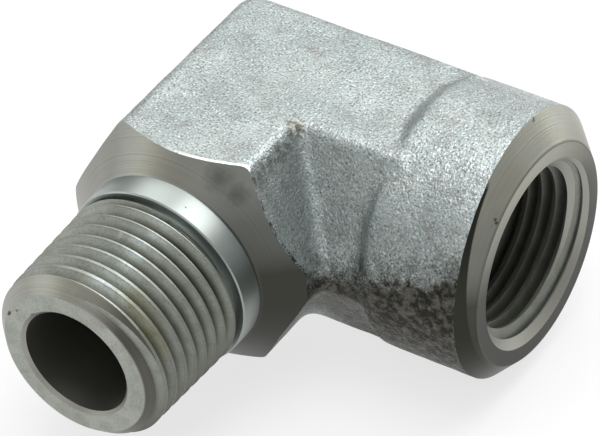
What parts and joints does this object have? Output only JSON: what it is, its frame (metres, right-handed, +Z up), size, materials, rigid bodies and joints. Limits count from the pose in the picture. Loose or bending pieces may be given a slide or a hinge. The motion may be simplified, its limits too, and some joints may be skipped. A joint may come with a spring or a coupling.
{
  "type": "hydraulic elbow adapter",
  "caption": "Forged steel street elbow, zinc plated: taper-threaded male end at right angles to a round threaded socket, with hexagonal legs.",
  "frame": {"origin": "where the axes of the two ports cross", "axes": "+X out of the threaded socket, -Y out of the male end, +Z up, square to the level wrench flats"},
  "size_m": [0.039, 0.0438, 0.0248],
  "materials": {
    "zinc_plated_steel": "zinc plated; shot-blasted forged skin and bright turned ends"
  },
  "bodies": {
    "root": {"elbow_body": "zinc_plated_steel"}
  },
  "joints": []
}
